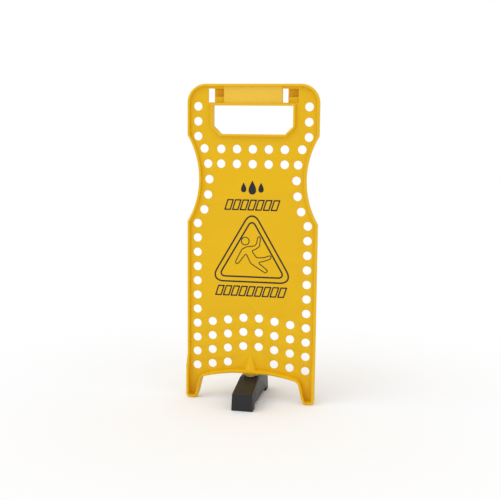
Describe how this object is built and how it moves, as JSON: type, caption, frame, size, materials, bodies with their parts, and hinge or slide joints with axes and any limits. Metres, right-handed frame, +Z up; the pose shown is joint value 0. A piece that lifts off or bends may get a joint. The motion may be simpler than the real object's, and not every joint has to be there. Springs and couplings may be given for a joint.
{
  "type": "wet floor sign",
  "caption": "Free-standing perforated moulded floor sign panel with a carrying handle, two feet and a swinging cross foot.",
  "frame": {"origin": "on the floor, straight under the pivot of the swing foot, at the middle of the sign's width", "axes": "+Z up along the sign's height, -Y the printed front, +X to the right for someone who faces the printed front"},
  "size_m": [0.27, 0.176, 0.65],
  "materials": {
    "yellow_moulding": "fine satin moulded polypropylene with printed black symbol",
    "black_moulding": "fine matt moulded polypropylene",
    "white_bush": "natural acetal",
    "spring_steel": "rolled spring steel",
    "insert_brass": "turned brass",
    "zinc_steel": "bright zinc plate",
    "washer_steel": "bright zinc plate"
  },
  "bodies": {
    "sign": {"panel": "yellow_moulding", "threaded_insert": "insert_brass", "pivot_bolt": "zinc_steel", "wave_washer": "spring_steel", "bolt_washer": "washer_steel"},
    "cross_foot": {"swing_foot": "black_moulding", "pivot_bush": "white_bush"}
  },
  "joints": [
    {"name": "foot_swing", "type": "hinge", "parent": "sign", "child": "cross_foot", "pos_m": [0, 0, 0.04], "axis": [0, 0, 1], "range_deg": [-90, 90]}
  ]
}
